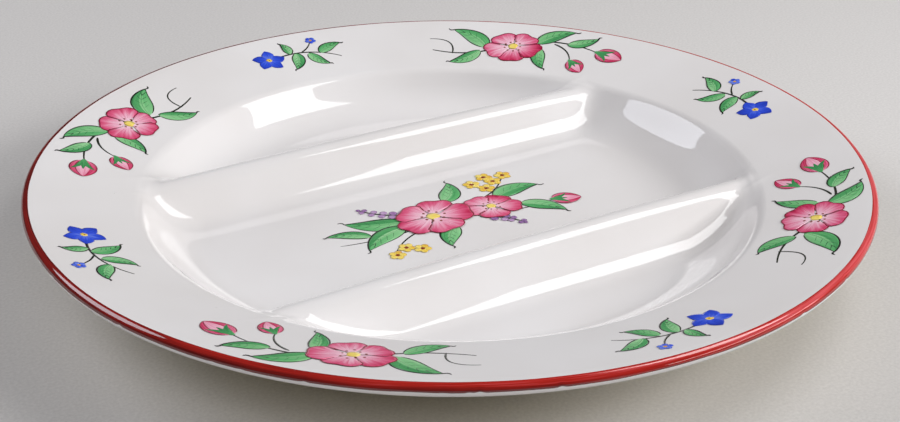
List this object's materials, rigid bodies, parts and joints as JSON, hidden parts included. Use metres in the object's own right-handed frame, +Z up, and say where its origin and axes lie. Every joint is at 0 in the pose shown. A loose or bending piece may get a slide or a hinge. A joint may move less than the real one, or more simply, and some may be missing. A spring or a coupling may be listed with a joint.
{
  "type": "relish dish",
  "caption": "Round glazed earthenware dish with a wide sloping rim and a shallow well that straight ridges part into compartments for relishes.",
  "frame": {"origin": "on the table, under the centre of the dish", "axes": "+X along the ridges, +Y from the front ridge to the back ridge, +Z up out of the well"},
  "size_m": [0.25, 0.25, 0.0266],
  "materials": {
    "white_glaze": "glossy",
    "bare_clay": "matt",
    "red_enamel": "glossy",
    "rose_enamel": "glossy",
    "leaf_enamel": "glossy",
    "blue_enamel": "glossy",
    "yellow_enamel": "glossy",
    "violet_enamel": "glossy",
    "line_enamel": "glossy"
  },
  "bodies": {
    "root": {"dish_body": "white_glaze", "back_divider": "white_glaze", "front_divider": "white_glaze", "foot_ring": "bare_clay", "edge_band": "red_enamel"}
  },
  "joints": []
}
